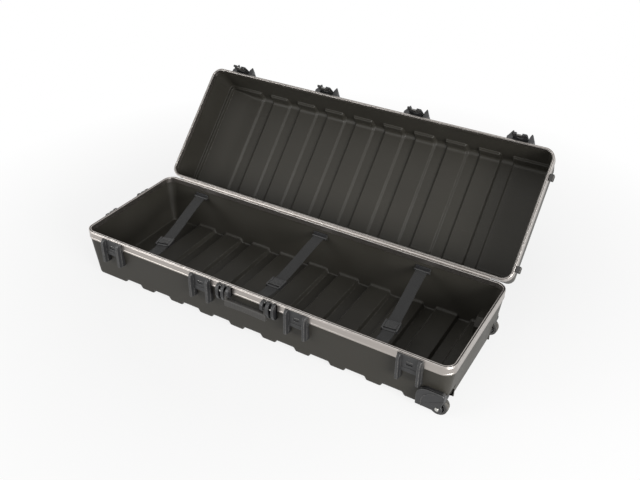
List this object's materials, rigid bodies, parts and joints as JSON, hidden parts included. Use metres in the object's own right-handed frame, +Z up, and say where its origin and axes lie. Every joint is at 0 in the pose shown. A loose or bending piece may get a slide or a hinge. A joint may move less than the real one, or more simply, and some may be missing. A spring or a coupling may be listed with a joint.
{
  "type": "wheeled utility case",
  "caption": "Long moulded case with a hinged ribbed lid standing open, metal rims, latches, drop handles, wheels at one end and straps inside.",
  "frame": {"origin": "on the floor under the middle of the case's box, with the lid open as stored", "axes": "+X along the case towards the wheels, +Y from the latches towards the hinge, +Z up"},
  "size_m": [1.3352, 0.862, 0.5276],
  "materials": {
    "shell": "satin",
    "rim": "satin",
    "hinge": "satin",
    "fittings": "satin",
    "grip": "matte",
    "steel": "satin",
    "tyre": "matte",
    "bumper": "matte",
    "webbing": "matte"
  },
  "bodies": {
    "base": {"base_shell": "shell", "base_valance": "rim", "hinge_leaf_base": "hinge", "hinge_pin": "steel", "latch_keeper_1": "fittings", "latch_keeper_2": "fittings", "latch_keeper_3": "fittings", "latch_keeper_4": "fittings", "front_handle_bracket_left": "fittings", "front_handle_bracket_right": "fittings", "end_handle_bracket_left": "fittings", "end_handle_bracket_right": "fittings", "wheel_housing_front": "fittings", "wheel_housing_back": "fittings", "wheel_axle_front": "steel", "wheel_axle_back": "steel", "strap_1": "webbing", "strap_2": "webbing", "strap_3": "webbing", "strap_buckle_1": "fittings", "strap_buckle_2": "fittings", "strap_buckle_3": "fittings", "strap_anchor_back_1": "fittings", "strap_anchor_back_2": "fittings", "strap_anchor_back_3": "fittings", "strap_anchor_front_1": "fittings", "strap_anchor_front_2": "fittings", "strap_anchor_front_3": "fittings"},
    "lid": {"lid_shell": "shell", "lid_valance": "rim", "hinge_leaf_lid": "hinge", "latch_base_1": "fittings", "latch_base_2": "fittings", "latch_base_3": "fittings", "latch_base_4": "fittings", "latch_pin_1": "steel", "latch_pin_2": "steel", "latch_pin_3": "steel", "latch_pin_4": "steel", "lid_bumper_front": "bumper", "lid_bumper_back": "bumper"},
    "lever_1": {"latch_lever_1": "fittings"},
    "lever_2": {"latch_lever_2": "fittings"},
    "lever_3": {"latch_lever_3": "fittings"},
    "lever_4": {"latch_lever_4": "fittings"},
    "claw_1": {"latch_claw_1": "steel"},
    "claw_2": {"latch_claw_2": "steel"},
    "claw_3": {"latch_claw_3": "steel"},
    "claw_4": {"latch_claw_4": "steel"},
    "front_grip": {"front_handle_grip": "grip"},
    "end_grip": {"end_handle_grip": "grip"},
    "wheel_front": {"tyre_front": "tyre", "wheel_hub_front": "fittings"},
    "wheel_back": {"tyre_back": "tyre", "wheel_hub_back": "fittings"}
  },
  "joints": [
    {"name": "lid_hinge", "type": "hinge", "parent": "base", "child": "lid", "pos_m": [0, 0.02975, 0.1763], "axis": [1, 0, 0], "range_deg": [0, 134]},
    {"name": "latch_lever_1_pivot", "type": "hinge", "parent": "lid", "child": "lever_1", "pos_m": [-0.52665, 0.35599, 0.48779], "axis": [-1, 0, 0], "range_deg": [0, 95]},
    {"name": "latch_lever_2_pivot", "type": "hinge", "parent": "lid", "child": "lever_2", "pos_m": [-0.16965, 0.35599, 0.48779], "axis": [-1, 0, 0], "range_deg": [0, 95]},
    {"name": "latch_lever_3_pivot", "type": "hinge", "parent": "lid", "child": "lever_3", "pos_m": [0.17435, 0.35599, 0.48779], "axis": [-1, 0, 0], "range_deg": [0, 95]},
    {"name": "latch_lever_4_pivot", "type": "hinge", "parent": "lid", "child": "lever_4", "pos_m": [0.53135, 0.35599, 0.48779], "axis": [-1, 0, 0], "range_deg": [0, 95]},
    {"name": "latch_claw_1_pivot", "type": "hinge", "parent": "lever_1", "child": "claw_1", "pos_m": [-0.52665, 0.3378, 0.50494], "axis": [1, 0, 0], "range_deg": [0, 7], "stiffness_Nm_per_rad": 0.05, "springref_deg": -17.19},
    {"name": "latch_claw_2_pivot", "type": "hinge", "parent": "lever_2", "child": "claw_2", "pos_m": [-0.16965, 0.3378, 0.50494], "axis": [1, 0, 0], "range_deg": [0, 7], "stiffness_Nm_per_rad": 0.05, "springref_deg": -17.19},
    {"name": "latch_claw_3_pivot", "type": "hinge", "parent": "lever_3", "child": "claw_3", "pos_m": [0.17435, 0.3378, 0.50494], "axis": [1, 0, 0], "range_deg": [0, 7], "stiffness_Nm_per_rad": 0.05, "springref_deg": -17.19},
    {"name": "latch_claw_4_pivot", "type": "hinge", "parent": "lever_4", "child": "claw_4", "pos_m": [0.53135, 0.3378, 0.50494], "axis": [1, 0, 0], "range_deg": [0, 7], "stiffness_Nm_per_rad": 0.05, "springref_deg": -17.19},
    {"name": "front_grip_swing", "type": "hinge", "parent": "base", "child": "front_grip", "pos_m": [0.00235, -0.42196, 0.152], "axis": [-1, 0, 0], "range_deg": [-3, 95]},
    {"name": "end_grip_swing", "type": "hinge", "parent": "base", "child": "end_grip", "pos_m": [-0.65865, -0.19245, 0.152], "axis": [0, 1, 0], "range_deg": [-3, 95]},
    {"name": "front_wheel_spin", "type": "hinge", "parent": "base", "child": "wheel_front", "pos_m": [0.62335, -0.39686, 0.027], "axis": [0, 1, 0], "continuous": true},
    {"name": "back_wheel_spin", "type": "hinge", "parent": "base", "child": "wheel_back", "pos_m": [0.62335, -0.00605, 0.027], "axis": [0, 1, 0], "continuous": true}
  ]
}
